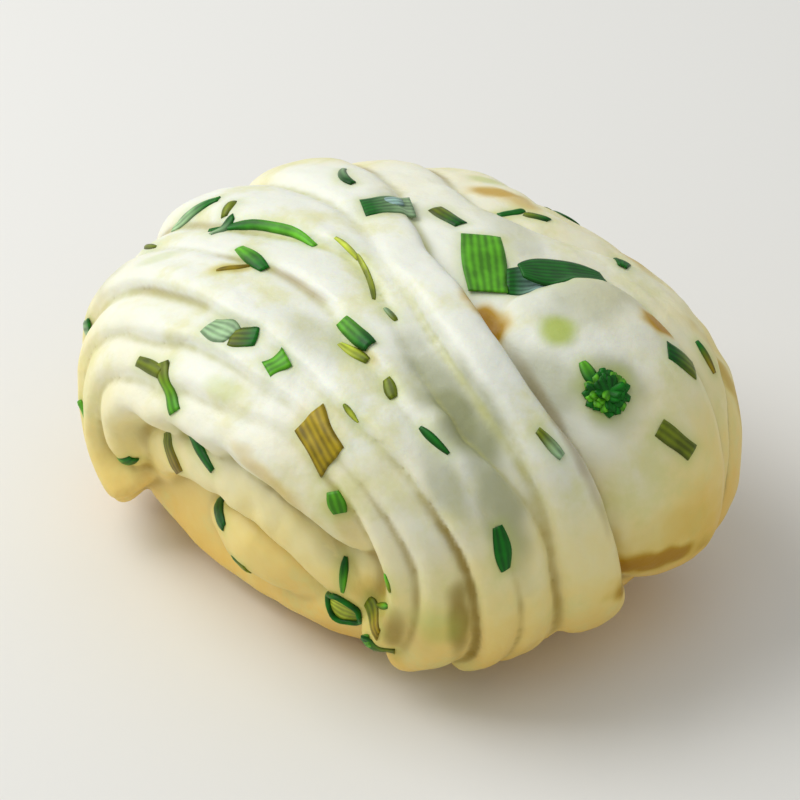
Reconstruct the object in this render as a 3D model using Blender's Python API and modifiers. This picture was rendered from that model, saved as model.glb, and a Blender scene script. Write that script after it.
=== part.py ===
"""A steamed spring onion roll: a bundle of soft dough leaves that arch side by side over a mound,
fan out towards the front foot and fold under at the base, with an open fold at the near end."""

import math

import bpy
from mathutils import Vector

MM = 0.001

# The mound that the leaves lie on. X runs along the leaves, Y across them, Z up.
HALF_LENGTH = 43.5 * MM
HALF_WIDTH = 36.4 * MM
HEIGHT = 44.0 * MM
WAIST = 18.5 * MM          # height of the widest ring
UNDERCUT = 23.1 * MM       # how far the round underside would reach below the waist
ROUNDNESS = 2.4            # 2 is an ellipsoid, more is boxier

# Turns about the Y axis, in degrees from straight up, where the creases and crests are placed.
BACK_FOOT, BACK_SHOULDER, CROWN = -108, -52, 0
FRONT_SHOULDER, FRONT_FLANK, FRONT_FOOT = 52, 84, 108
STATIONS = (BACK_FOOT, BACK_SHOULDER, CROWN, FRONT_SHOULDER, FRONT_FLANK, FRONT_FOOT)

# Where each crease lies across the mound at the stations, in mm.
CREASES = {
    "mouth rim": (-34.0, -34.8, -34.6, -33.8, -32.9, -32.4),
    "lip": (-31.8, -32.8, -31.8, -29.8, -29.1, -28.8),
    "second": (-29.6, -29.2, -27.8, -27.8, -26.4, -25.4),
    "third": (-25.0, -24.0, -23.6, -24.2, -21.1, -18.9),
    "fourth": (-14.5, -17.2, -14.5, -19.5, -17.0, -14.8),
    "fifth": (-5.0, -10.8, -7.0, -16.2, -12.4, -8.8),
    "band left": (6.8, 2.6, -4.6, -10.8, -10.8, -8.4),
    "band right": (19.0, 13.6, 2.1, -5.2, -2.9, 3.2),
    "lobe right": (17.0, 15.0, 8.6, 17.0, 18.0, 17.4),
    "upper": (25.5, 21.0, 15.5, 28.0, 22.2, 17.0),
    "outer": (30.5, 28.6, 25.4, 32.6, 28.2, 24.5),
    "far rim": (33.0, 34.2, 34.2, 35.0, 32.1, 30.0),
}

# Each leaf fills the strip between two creases, from a first turn to a last one. Its ends close
# over some degrees, and it leans by some degrees so that one edge laps over its neighbour. Then,
# at the stations, how far its crest stands proud of the mound, in mm, and how high the crest
# arches for its half width.
LEAVES = (
    ("mouth rim", "lip", -110, 84, 24, 12,
     (-2.0, -0.3, 0.3, 0.0, -1.5, -2.5), (0.9, 0.8, 0.8, 0.8, 0.9, 0.9)),
    ("lip", "second", -120, 115, 6, 14,
     (0.0, 0.0, -0.1, -0.2, -0.4, -0.8), (0.8, 0.7, 0.55, 0.8, 0.9, 0.95)),
    ("second", "third", -122, 120, 5, 16,
     (0.0, 0.0, 0.1, 0.1, 0.0, 0.0), (0.7, 0.5, 0.4, 0.5, 0.8, 0.95)),
    ("third", "fourth", -123, 118, 5, 14,
     (0.2, 0.2, 0.1, 0.2, 0.2, 0.3), (0.6, 0.4, 0.25, 0.3, 0.6, 0.8)),
    ("fourth", "fifth", -121, 116, 5, 12,
     (-0.8, -1.3, 0.2, -0.2, -0.6, -0.2), (0.8, 0.6, 0.45, 0.6, 0.7, 0.8)),
    ("fifth", "band left", -123, 112, 6, 6,
     (0.2, 0.1, 0.5, -2.2, -2.0, -0.8), (0.8, 0.7, 0.2, 0.25, 0.5, 0.8)),
    ("band left", "band right", -122, 108, 5, 0,
     (0.2, 0.2, 0.7, 1.3, 0.6, 0.3), (0.8, 0.6, 0.4, 0.8, 0.7, 0.7)),
    ("band right", "upper", -121, 54, 20, -4,
     (-0.2, -0.6, -1.2, -2.6, -4.0, -4.0), (0.6, 0.4, 0.35, 0.4, 0.5, 0.5)),
    ("band right", "lobe right", 33, 107, 14, -13,
     (0.0, 0.0, -0.6, 1.0, -0.4, -1.6), (0.7, 0.7, 0.7, 0.7, 0.7, 0.7)),
    ("lobe right", "upper", -8, 108, 14, -10,
     (-1.8, -1.8, -1.6, -0.3, -0.8, -1.2), (0.6, 0.6, 0.5, 0.5, 0.7, 0.8)),
    ("upper", "outer", -122, 115, 5, -12,
     (-0.4, -1.0, -1.4, -0.9, -0.3, 0.0), (0.7, 0.6, 0.5, 0.6, 0.8, 0.9)),
    ("outer", "far rim", -119, 108, 8, -12,
     (-0.6, -1.0, -1.0, -1.0, -0.9, -0.8), (0.8, 0.7, 0.6, 0.7, 0.9, 0.9)),
)
OVERLAP = 1.05             # each leaf is wider than its strip by this much, so neighbours merge
LEAF_DEPTH = 10.0 * MM     # from its crest down into the roll
SQUARENESS = 2.7           # of a crest: 2 is round, more is flatter with steeper sides
FOLD_ARCH = 0.9            # height of the crest of an end fold for its half thickness
UNEVEN = 0.35              # mm by which a crest wanders in and out along its leaf
TURN_STEP = 3.0            # degrees between the sections of a leaf
SECTION_POINTS = 24

# The rolled edges that show inside the open folds at the two ends: which end, then in mm the
# place of the crest across, the middle along and up, the half span, the rise and the half
# thickness, and the first and last turn. The crest runs back into the roll towards its feet.
END_FOLDS = (
    (-1, 32.4, 2.0, 9.0, 20.0, 13.5, 3.4, -106, 112),
    (-1, 31.2, 5.0, 7.0, 9.5, 6.5, 3.9, -112, 118),
    (1, 32.8, -3.0, 8.5, 18.5, 12.5, 3.5, -112, 106),
    (1, 31.4, 1.0, 6.5, 9.0, 6.0, 3.8, -118, 112),
)
FOLD_DEPTH = 9.0 * MM
FOLD_SINK = 7.0            # mm that a crest has run back where its turn is square to the top

# The body under the leaves.
CORE_INSET = 5.0 * MM
CORE_DROP = 2.5 * MM       # how far its round underside reaches past the base cut
CORE_END = 27.0 * MM       # how far it reaches across, behind the open folds
CORE_RINGS = 28
CORE_SIDES = 48

# Joining and thinning.
JOIN_VOXEL = 0.7 * MM
JOIN_SMOOTHING = 2
TRIANGLE_SHARE = 0.085
BASE_CUT = 30.0 * MM


def smooth_between(values, turn):
    """The value at a turn, on a smooth curve through the values at the stations."""
    turn = min(max(turn, STATIONS[0]), STATIONS[-1])
    last = len(STATIONS) - 1
    index = min(sum(turn >= station for station in STATIONS[1:]), last - 1)
    step = STATIONS[index + 1] - STATIONS[index]
    slopes = []
    for place in (index, index + 1):
        before, after = max(place - 1, 0), min(place + 1, last)
        rise = values[after] - values[before]
        slopes.append(rise / (STATIONS[after] - STATIONS[before]) * step)
    share = (turn - STATIONS[index]) / step
    cube, square = share ** 3, share ** 2
    return (
        (2 * cube - 3 * square + 1) * values[index]
        + (cube - 2 * square + share) * slopes[0]
        + (3 * square - 2 * cube) * values[index + 1]
        + (cube - square) * slopes[1]
    )


def mound_point(turn, across, inset=0.0):
    """The point of the mound's surface at a turn about the Y axis and a place across it."""
    half_length, half_width = HALF_LENGTH - inset, HALF_WIDTH - inset
    angle = math.radians(turn)
    rise = HEIGHT - WAIST - inset if math.cos(angle) > 0 else UNDERCUT
    room = max(1.0 - abs(across / half_width) ** ROUNDNESS, 1e-4)
    spread = abs(math.sin(angle) / half_length) ** ROUNDNESS + abs(math.cos(angle) / rise) ** ROUNDNESS
    reach = (room / spread) ** (1 / ROUNDNESS)
    return Vector((reach * math.sin(angle), across, WAIST + reach * math.cos(angle)))


def mound_normal(point):
    """The outward direction of the mound's surface at a point on it."""
    height = point.z - WAIST
    rise = HEIGHT - WAIST if height > 0 else UNDERCUT
    return Vector(
        math.copysign(abs(value / size) ** (ROUNDNESS - 1) / size, value)
        for value, size in ((point.x, HALF_LENGTH), (point.y, HALF_WIDTH), (height, rise))
    ).normalized()


def rounded_section(crest, sideways, outward, half_width, crest_height, depth):
    """A ring with a rounded crest and straight flanks that reach down from it."""
    power = 2 / SQUARENESS
    ring = []
    for index in range(SECTION_POINTS):
        angle = 2 * math.pi * index / SECTION_POINTS
        over = math.copysign(abs(math.sin(angle)) ** power, math.sin(angle))
        aside = math.copysign(abs(math.cos(angle)) ** power, math.cos(angle))
        drop = crest_height * (1 - over) if over >= 0 else crest_height - depth * over
        ring.append(crest + sideways * (half_width * aside) - outward * drop)
    return ring


def closing_at(turn, first, last, degrees):
    """How far a leaf's section is open near its ends, from almost 0 up to 1."""
    from_end = min(min(turn - first, last - turn) / degrees, 1.0)
    return max((1 - (1 - from_end) ** 2.5) ** (1 / 2.5), 0.2)


def leaf_rings(left, right, first, last, degrees, lean, proud, arch, phase):
    """The rings along a leaf that lies between two creases."""
    count = max(int((last - first) / TURN_STEP), 4)
    tilt = math.radians(lean)
    rings = []
    for index in range(count + 1):
        turn = first + (last - first) * index / count
        closing = closing_at(turn, first, last, degrees)
        start, end = smooth_between(left, turn) * MM, smooth_between(right, turn) * MM
        middle = mound_point(turn, (start + end) / 2)
        outward = mound_normal(middle)
        span = mound_point(turn, end) - mound_point(turn, start)
        sideways = span - outward * span.dot(outward)
        half_width = sideways.length / 2 * OVERLAP * closing
        sideways.normalize()
        height = smooth_between(proud, turn) + UNEVEN * math.sin(math.radians(3.1 * turn) + phase)
        crest = middle + outward * (height * MM - LEAF_DEPTH * (1 - closing) / 2)
        side = sideways * math.cos(tilt) - outward * math.sin(tilt)
        out = outward * math.cos(tilt) + sideways * math.sin(tilt)
        crest_height = half_width * smooth_between(arch, turn)
        rings.append(rounded_section(
            crest, side, out, half_width, crest_height, LEAF_DEPTH * closing
        ))
    return rings


def end_fold_rings(end, across, along, up, half_span, rise, half_thickness, first, last):
    """The rings of a rolled edge that arches inside an open fold, facing out along Y."""
    count = max(int((last - first) / TURN_STEP / 2), 4)
    outward = Vector((0, end, 0))
    rings = []
    for index in range(count + 1):
        turn = math.radians(first + (last - first) * index / count)
        reach = Vector((half_span * math.sin(turn), 0, rise * math.cos(turn)))
        sunk = FOLD_SINK * (turn / (math.pi / 2)) ** 2
        crest = Vector((along, end * (across - sunk), up)) + reach
        sideways = Vector((rise * math.sin(turn), 0, half_span * math.cos(turn))).normalized()
        rings.append(rounded_section(
            crest * MM, sideways * -end, outward,
            half_thickness * MM, half_thickness * FOLD_ARCH * MM, FOLD_DEPTH
        ))
    return rings


def core_rings():
    """The rings of the body under the leaves, from the near end to the far one."""
    half_width = HALF_WIDTH - CORE_INSET
    rings = []
    for index in range(1, CORE_RINGS):
        across = -half_width * math.cos(math.pi * index / CORE_RINGS)
        place = min(max(across, -CORE_END), CORE_END)
        ring = []
        for side in range(CORE_SIDES):
            point = mound_point(360 * side / CORE_SIDES - 180, across, CORE_INSET)
            ring.append(Vector((point.x, place, max(point.z, -CORE_DROP))))
        rings.append(ring)
    return rings


def loft(rings, verts, faces):
    """Adds a closed skin over the rings, with a flat cap at each end."""
    first = len(verts)
    sides = len(rings[0])
    for ring in rings:
        verts.extend(ring)
    for row in range(len(rings) - 1):
        for side in range(sides):
            a = first + row * sides + side
            b = first + row * sides + (side + 1) % sides
            faces.append((a, b, b + sides, a + sides))
    faces.append(tuple(range(first + sides - 1, first - 1, -1)))
    faces.append(tuple(range(first + (len(rings) - 1) * sides, first + len(rings) * sides)))


def dough_material():
    material = bpy.data.materials.new("steamed dough")
    material.use_nodes = True
    shader = material.node_tree.nodes["Principled BSDF"]
    shader.inputs["Base Color"].default_value = (0.83, 0.82, 0.66, 1)
    shader.inputs["Roughness"].default_value = 0.55
    material.diffuse_color = (0.83, 0.82, 0.66, 1)
    return material


def add_collection(name, helper=False):
    collection = bpy.data.collections.new(name)
    collection.hide_render = helper
    bpy.context.scene.collection.children.link(collection)
    return collection


def add_base_cutter(collection):
    """A block whose top is the surface that the roll rests on."""
    bpy.ops.mesh.primitive_cube_add(size=1)
    cutter = bpy.context.object
    cutter.name = "base_cutter"
    cutter.scale = (4 * HALF_LENGTH, 4 * HALF_WIDTH, BASE_CUT)
    cutter.location.z = -BASE_CUT / 2
    for owner in list(cutter.users_collection):
        owner.objects.unlink(cutter)
    collection.objects.link(cutter)
    cutter.hide_render = True
    cutter.display_type = "WIRE"
    return cutter


def add_roll(collection, cutter):
    verts, faces = [], []
    loft(core_rings(), verts, faces)
    for phase, leaf in enumerate(LEAVES):
        left, right, *rest = leaf
        loft(leaf_rings(CREASES[left], CREASES[right], *rest, phase), verts, faces)
    for fold in END_FOLDS:
        loft(end_fold_rings(*fold), verts, faces)
    mesh = bpy.data.meshes.new("roll")
    mesh.from_pydata(verts, [], faces)
    roll = bpy.data.objects.new("roll", mesh)
    collection.objects.link(roll)
    mesh.materials.append(dough_material())
    join = roll.modifiers.new("Join", "REMESH")
    join.mode = "VOXEL"
    join.voxel_size = JOIN_VOXEL
    join.use_smooth_shade = True
    soften = roll.modifiers.new("Soften", "SMOOTH")
    soften.iterations = JOIN_SMOOTHING
    thin = roll.modifiers.new("Thin", "DECIMATE")
    thin.ratio = TRIANGLE_SHARE
    cut = roll.modifiers.new("Base", "BOOLEAN")
    cut.operation = "DIFFERENCE"
    cut.object = cutter
    return roll


def main():
    for item in list(bpy.data.objects):
        bpy.data.objects.remove(item, do_unlink=True)
    parts = add_collection("spring onion roll")
    cutters = add_collection("cutters", helper=True)
    add_roll(parts, add_base_cutter(cutters))


main()
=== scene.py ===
import math
import random

import bmesh
import bpy
import numpy as np
from mathutils import Matrix, Quaternion, Vector, noise
from mathutils.bvhtree import BVHTree
from mathutils.kdtree import KDTree


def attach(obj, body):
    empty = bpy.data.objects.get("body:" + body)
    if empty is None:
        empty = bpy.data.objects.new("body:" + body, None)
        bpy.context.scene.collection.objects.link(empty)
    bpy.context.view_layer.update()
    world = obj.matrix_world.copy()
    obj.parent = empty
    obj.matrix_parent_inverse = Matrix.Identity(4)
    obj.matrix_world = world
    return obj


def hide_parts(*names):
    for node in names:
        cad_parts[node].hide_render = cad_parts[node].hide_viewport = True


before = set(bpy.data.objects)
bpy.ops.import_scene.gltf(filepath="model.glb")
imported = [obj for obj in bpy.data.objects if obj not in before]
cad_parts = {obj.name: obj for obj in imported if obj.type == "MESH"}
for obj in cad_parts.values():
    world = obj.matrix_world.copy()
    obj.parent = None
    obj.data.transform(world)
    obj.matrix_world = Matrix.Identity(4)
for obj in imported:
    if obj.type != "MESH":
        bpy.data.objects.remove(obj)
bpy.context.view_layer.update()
mm = 0.001
print("frame loaded, solids:", *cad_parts)


def colour(code):
    # an sRGB hex value such as "#f3efe0", turned to the linear values that the shaders take
    parts = [int(code[place:place + 2], 16) / 255 for place in (1, 3, 5)]
    return [part / 12.92 if part <= 0.04045 else ((part + 0.055) / 1.055) ** 2.4 for part in parts] + [1]


def addNode(tree, kind, inputs=None, **settings):
    # each input is another node's output, which is linked, or a value, which is set
    node = tree.nodes.new(kind)
    for name, value in settings.items():
        setattr(node, name, value)
    for name, value in (inputs or {}).items():
        if isinstance(value, bpy.types.NodeSocket):
            tree.links.new(value, node.inputs[name])
        else:
            node.inputs[name].default_value = value
    return node


def emptyMaterial(name):
    # a new material, its tree, and the place on the object in metres
    material = bpy.data.materials.new(name)
    material.use_nodes = True
    tree = material.node_tree
    tree.nodes.clear()
    return material, tree, addNode(tree, "ShaderNodeTexCoord").outputs["Object"]


def addObject(name, data):
    item = bpy.data.objects.new(name, data)
    bpy.context.scene.collection.objects.link(item)
    return item


# the roll's shape, all in mm and degrees
rollShape = {
    "halfLength": 43.5,      # along the leaves, X
    "halfWidth": 36.4,       # across them, Y
    "height": 44.0,
    "waist": 18.5,           # height of the widest ring
    "undercut": 23.1,        # how far the round underside would reach below the waist
    "roundness": 2.4,        # 2 is an ellipsoid, more is boxier
    "overlap": 1.05,         # each leaf is a little wider than its strip
    "leafDepth": 10.0,       # from its crest down into the roll
    "squareness": 2.7,       # of a leaf's crest: 2 is round, more is flatter with steeper sides
    "endRoundness": 2.5,     # of the tongue that a leaf ends in
    "endWidth": 0.2,         # the least share of its width that is left there
    "uneven": 0.35,          # how far a crest wanders in and out along its leaf
    "unevenWaves": 3.1,      # and in how many waves a round
    "wander": 0.3,           # how far a crease wanders sideways, in a slow and a quicker wave
    "wanderWaves": (7.3, 13.1),
    "turnStep": 1.2,         # degrees between the sections of a leaf
    "sectionPoints": 40,
    "foldDepth": 9.0,
    "foldArch": 0.9,         # height of a fold's crest for its half thickness
    "foldSink": 7.0,         # how far an end fold runs back where its turn is square to the top
    "lookFrom": 12.0,        # above the mound, where the search for the dough's surface starts
    "coreInset": 5.0,        # the core fills the middle, this far inside the leaves
    "coreDrop": 2.5,         # how far it reaches under the base, which is cut flat later
    "coreEnd": 27.0,         # how far across it reaches
    "coreRings": 40,
    "coreTurn": 5,           # degrees between the points of a ring
}

# turns about Y, from straight up, at which the values below are given: back foot to front foot
stations = (-108, -52, 0, 52, 84, 108)
creases = {
    "mouthRim": (-34.0, -34.8, -34.6, -33.8, -32.9, -32.4),
    "lip": (-31.8, -32.8, -31.8, -29.8, -29.1, -28.8),
    "second": (-29.6, -29.2, -27.8, -27.8, -26.4, -25.4),
    "third": (-25.0, -24.0, -23.6, -24.2, -21.1, -18.9),
    "fourth": (-14.5, -17.2, -14.5, -19.5, -17.0, -14.8),
    "fifth": (-5.0, -10.8, -7.0, -16.2, -12.4, -8.8),
    "bandLeft": (6.8, 2.6, -4.6, -10.8, -10.8, -8.4),
    "bandRight": (19.0, 13.6, 2.1, -5.2, -2.9, 3.2),
    "lobeRight": (17.0, 15.0, 8.6, 17.0, 18.0, 17.4),
    "upper": (25.5, 21.0, 15.5, 28.0, 22.2, 17.0),
    "outer": (30.5, 28.6, 25.4, 32.6, 28.2, 24.5),
    "farRim": (33.0, 34.2, 34.2, 35.0, 32.1, 30.0),
}

# left and right crease, first and last turn, degrees over which the ends close, lean over the neighbour,
# then at each station how proud it stands and how high its crest arches for its half width
leaves = (
    ("mouthRim", "lip", -110, 84, 24, 12,
     (-2.0, -0.3, 0.3, 0.0, -1.5, -2.5), (0.9, 0.8, 0.8, 0.8, 0.9, 0.9)),
    ("lip", "second", -120, 115, 6, 14,
     (0.0, 0.0, -0.1, -0.2, -0.4, -0.8), (0.8, 0.7, 0.55, 0.8, 0.9, 0.95)),
    ("second", "third", -122, 120, 5, 16,
     (0.0, 0.0, 0.1, 0.1, 0.0, 0.0), (0.7, 0.5, 0.4, 0.5, 0.8, 0.95)),
    ("third", "fourth", -123, 118, 5, 14,
     (0.2, 0.2, 0.1, 0.2, 0.2, 0.3), (0.6, 0.4, 0.25, 0.3, 0.6, 0.8)),
    ("fourth", "fifth", -121, 116, 5, 12,
     (-0.8, -1.3, 0.2, -0.2, -0.6, -0.2), (0.8, 0.6, 0.45, 0.6, 0.7, 0.8)),
    ("fifth", "bandLeft", -123, 112, 6, 6,
     (0.2, 0.1, 0.5, -2.2, -2.0, -0.8), (0.8, 0.7, 0.2, 0.25, 0.5, 0.8)),
    ("bandLeft", "bandRight", -122, 108, 5, 0,
     (0.2, 0.2, 0.7, 1.3, 0.6, 0.3), (0.8, 0.6, 0.4, 0.8, 0.7, 0.7)),
    ("bandRight", "upper", -121, 54, 20, -4,
     (-0.2, -0.6, -1.2, -2.6, -4.0, -4.0), (0.6, 0.4, 0.35, 0.4, 0.5, 0.5)),
    ("bandRight", "lobeRight", 33, 107, 14, -13,
     (0.0, 0.0, -0.6, 1.0, -0.4, -1.6), (0.7, 0.7, 0.7, 0.7, 0.7, 0.7)),
    ("lobeRight", "upper", -8, 108, 14, -10,
     (-1.8, -1.8, -1.6, -0.3, -0.8, -1.2), (0.6, 0.6, 0.5, 0.5, 0.7, 0.8)),
    ("upper", "outer", -122, 115, 5, -12,
     (-0.4, -1.0, -1.4, -0.9, -0.3, 0.0), (0.7, 0.6, 0.5, 0.6, 0.8, 0.9)),
    ("outer", "farRim", -119, 108, 8, -12,
     (-0.6, -1.0, -1.0, -1.0, -0.9, -0.8), (0.8, 0.7, 0.6, 0.7, 0.9, 0.9)),
)

# rolled edges inside the open ends: which end, its place across, along and up,
# half span, rise, half thickness, first and last turn
endFolds = (
    (-1, 32.4, 2.0, 9.0, 20.0, 13.5, 3.4, -106, 112),
    (-1, 31.2, 5.0, 7.0, 9.5, 6.5, 3.9, -112, 118),
    (1, 32.8, -3.0, 8.5, 18.5, 12.5, 3.5, -112, 106),
    (1, 31.4, 1.0, 6.5, 9.0, 6.0, 3.8, -118, 112),
)


def smoothBetween(values, turn):
    # a smooth curve through the values at the stations
    turn = min(max(turn, stations[0]), stations[-1])
    last = len(stations) - 1
    index = min(sum(turn >= station for station in stations[1:]), last - 1)
    step = stations[index + 1] - stations[index]
    slopes = []
    for place in (index, index + 1):
        before, after = max(place - 1, 0), min(place + 1, last)
        slopes.append((values[after] - values[before]) / (stations[after] - stations[before]) * step)
    share = (turn - stations[index]) / step
    cube, square = share ** 3, share ** 2
    return (
        (2 * cube - 3 * square + 1) * values[index]
        + (cube - 2 * square + share) * slopes[0]
        + (3 * square - 2 * cube) * values[index + 1]
        + (cube - square) * slopes[1]
    )


def creaseAt(name, turn):
    # how far across a crease lies; its name sets where its waves start
    phase = len(name) + 3 * sum(map(ord, name)) % 17
    slow, quick = (math.radians(waves * turn) for waves in rollShape["wanderWaves"])
    wander = math.sin(slow + phase) + 0.6 * math.sin(quick + 2 * phase)
    return smoothBetween(creases[name], turn) + rollShape["wander"] * wander / 1.6


def moundPoint(turn, across, inset=0.0):
    # the mound is a rounded box, flatter below the waist than above
    power = rollShape["roundness"]
    angle = math.radians(turn)
    rise = rollShape["undercut"]
    if math.cos(angle) > 0:
        rise = rollShape["height"] - rollShape["waist"] - inset
    room = max(1 - abs(across / (rollShape["halfWidth"] - inset)) ** power, 1e-4)
    spread = abs(math.sin(angle) / (rollShape["halfLength"] - inset)) ** power
    spread += abs(math.cos(angle) / rise) ** power
    reach = (room / spread) ** (1 / power)
    return Vector((reach * math.sin(angle), across, rollShape["waist"] + reach * math.cos(angle)))


def moundNormal(point):
    up = point.z - rollShape["waist"]
    rise = rollShape["height"] - rollShape["waist"] if up > 0 else rollShape["undercut"]
    sizes = ((point.x, rollShape["halfLength"]), (point.y, rollShape["halfWidth"]), (up, rise))
    power = rollShape["roundness"] - 1
    slopes = [math.copysign(abs(value / size) ** power / size, value) for value, size in sizes]
    return Vector(slopes).normalized()


def leafSection(crest, sideways, outward, halfWidth, crestHeight, depth):
    # a rounded crest with steep flanks that reach down into the roll
    power = 2 / rollShape["squareness"]
    ring = []
    for index in range(rollShape["sectionPoints"]):
        angle = 2 * math.pi * index / rollShape["sectionPoints"]
        over = math.copysign(abs(math.sin(angle)) ** power, math.sin(angle))
        aside = math.copysign(abs(math.cos(angle)) ** power, math.cos(angle))
        drop = crestHeight * (1 - over) if over >= 0 else crestHeight - depth * over
        ring.append(crest + sideways * (halfWidth * aside) - outward * drop)
    return ring


def leafRings(left, right, first, last, degrees, lean, proud, arch, phase):
    # a leaf's sections, from the back foot over the crown to the front foot
    count = int((last - first) / rollShape["turnStep"])
    tilt = math.radians(lean)
    depth, power = rollShape["leafDepth"], rollShape["endRoundness"]
    rings = []
    for index in range(count + 1):
        turn = first + (last - first) * (index / count)
        fromEnd = min(min(turn - first, last - turn) / degrees, 1.0)
        closing = max((1 - (1 - fromEnd) ** power) ** (1 / power), rollShape["endWidth"])
        start, end = creaseAt(left, turn), creaseAt(right, turn)
        middle = moundPoint(turn, (start + end) / 2)
        outward = moundNormal(middle)
        span = moundPoint(turn, end) - moundPoint(turn, start)
        sideways = span - outward * span.dot(outward)
        halfWidth = sideways.length / 2 * rollShape["overlap"] * closing
        sideways.normalize()
        uneven = rollShape["uneven"] * math.sin(math.radians(rollShape["unevenWaves"] * turn) + phase)
        height = smoothBetween(proud, turn) + uneven
        crestHeight = halfWidth * smoothBetween(arch, turn)
        crest = middle + outward * (height - depth * (1 - closing) / 2)
        side = sideways * math.cos(tilt) - outward * math.sin(tilt)
        out = outward * math.cos(tilt) + sideways * math.sin(tilt)
        rings.append(leafSection(crest, side, out, halfWidth, crestHeight, depth * closing))
    return rings


def endFoldRings(end, across, along, up, halfSpan, rise, halfThickness, first, last):
    # a rolled edge that arches inside an open end and runs back into the roll at its feet
    count = int((last - first) / rollShape["turnStep"] / 2)
    outward = Vector((0, end, 0))
    depth, crestHeight = rollShape["foldDepth"], halfThickness * rollShape["foldArch"]
    rings = []
    for index in range(count + 1):
        turn = math.radians(first + (last - first) * index / count)
        sunk = rollShape["foldSink"] * (turn / (math.pi / 2)) ** 2
        crest = Vector((
            along + halfSpan * math.sin(turn), end * (across - sunk), up + rise * math.cos(turn)
        ))
        sideways = Vector((rise * math.sin(turn), 0, halfSpan * math.cos(turn))).normalized() * -end
        rings.append(leafSection(crest, sideways, outward, halfThickness, crestHeight, depth))
    return rings


def coreRings():
    # the plain dough under the leaves
    rings = []
    for index in range(1, rollShape["coreRings"]):
        angle = math.pi * index / rollShape["coreRings"]
        across = -(rollShape["halfWidth"] - rollShape["coreInset"]) * math.cos(angle)
        place = min(max(across, -rollShape["coreEnd"]), rollShape["coreEnd"])
        turns = range(-180, 180, rollShape["coreTurn"])
        points = [moundPoint(turn, across, rollShape["coreInset"]) for turn in turns]
        rings.append([Vector((point.x, place, max(point.z, -rollShape["coreDrop"]))) for point in points])
    return rings


def loft(rings, points, faces):
    # joins ring to ring with a skin, closed at both ends
    first, sides = len(points), len(rings[0])
    for ring in rings:
        points.extend(ring)
    for row in range(len(rings) - 1):
        for side in range(sides):
            a = first + row * sides + side
            b = first + row * sides + (side + 1) % sides
            faces.append((a, b, b + sides, a + sides))
    faces.append(tuple(range(first + sides - 1, first - 1, -1)))
    faces.append(tuple(range(first + (len(rings) - 1) * sides, first + len(rings) * sides)))


# the skin: joining the leaves, then the unevenness that steaming leaves. Sizes are mm
skin = {
    "voxel": 0.5,
    "relax": 2,              # rounds of smoothing after the join
    "hollowReach": 20,       # rounds of smoothing that tell a wide crease from a crest
    "foldReach": 5,          # the same for the fine line at its bottom
    "blur": 3,               # rounds that even out what they found
    "pressFrom": 0.04,       # creases deeper than this are pressed deeper
    "pressMost": 0.4,        # as if they were at most this much deeper
    "pressShare": 0.9,       # and by this share of it
    "ease": 3,               # rounds that smooth the pressing
    "soften": 7,             # rounds that smooth the bottom of a crease, in full where it is this deep
    "softenAt": 0.04,
    "swell": (11.0, 0.40),   # size and height of the soft lumps
    "dent": (4.2, 0.2),
    "dentShift": (31, 7, 3),       # so that the dents don't follow the swell
    "stretch": (9.0, 1.2, 0.16),   # length, width and height of the lines drawn along the leaves
    "stretchRadius": 30,     # of the roll, which turns degrees into a length
    "lumps": ((8, -33, 23), 9.0, 2.4, 0.5),   # in the open fold: place, reach, size and height
    "blisters": (            # turn, across, radius, height
        (55.2, -17.1, 1.6, 0.9),
        (38, 4.0, 2.6, 0.35),
        (8, -21.0, 2.2, 0.25),
        (70, -2.0, 1.8, 0.25),
        (-20, 14.0, 2.6, 0.3),
        (84, 12.0, 2.4, 0.25),
    ),
}


def newMesh(name, points, faces):
    mesh = bpy.data.meshes.new(name)
    mesh.from_pydata(points, [], faces)
    return mesh


def valuesOf(items, name, width, kind=np.float32):
    # one property of every item of a mesh, a row for each
    flat = np.empty(len(items) * width, kind)
    items.foreach_get(name, flat)
    return flat.reshape(-1, width)


def pointsOf(mesh):
    return valuesOf(mesh.vertices, "co", 3).astype(float)


def normalsOf(mesh):
    return valuesOf(mesh.vertices, "normal", 3).astype(float)


def setPoints(mesh, points):
    mesh.vertices.foreach_set("co", points.astype(np.float32).ravel())
    mesh.update()


def setAttribute(mesh, name, values):
    mesh.attributes.new(name, "FLOAT", "POINT").data.foreach_set("value", values.astype(np.float32))


def turnsOf(points):
    # how far round the roll each point is, in radians from straight up
    return np.arctan2(points[:, 0], points[:, 2] - rollShape["waist"])


def relaxed(values, edges, rounds):
    # moves each point's values half way to the mean of its neighbours', again and again
    count = np.bincount(edges.ravel(), minlength=len(values))[:, None]
    for _ in range(rounds):
        total = np.zeros_like(values)
        for axis in range(values.shape[1]):
            total[:, axis] += np.bincount(edges[:, 0], values[edges[:, 1], axis], len(values))
            total[:, axis] += np.bincount(edges[:, 1], values[edges[:, 0], axis], len(values))
        values = values + 0.5 * (total / count - values)
    return values


def smoothStep(share):
    share = np.clip(share, 0, 1)
    return share * share * (3 - 2 * share)


def joinLeaves():
    points, faces = [], []
    loft(coreRings(), points, faces)
    for phase, leaf in enumerate(leaves):
        loft(leafRings(*leaf, phase), points, faces)
    for fold in endFolds:
        loft(endFoldRings(*fold), points, faces)
    raw = addObject("rawLeaves", newMesh("rawLeaves", points, faces))
    join = raw.modifiers.new("Join", "REMESH")
    join.mode = "VOXEL"
    join.voxel_size = skin["voxel"]
    graph = bpy.context.evaluated_depsgraph_get()
    mesh = bpy.data.meshes.new_from_object(raw.evaluated_get(graph))
    mesh.name = "doughRoll"
    bpy.data.objects.remove(raw)
    return mesh


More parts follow.
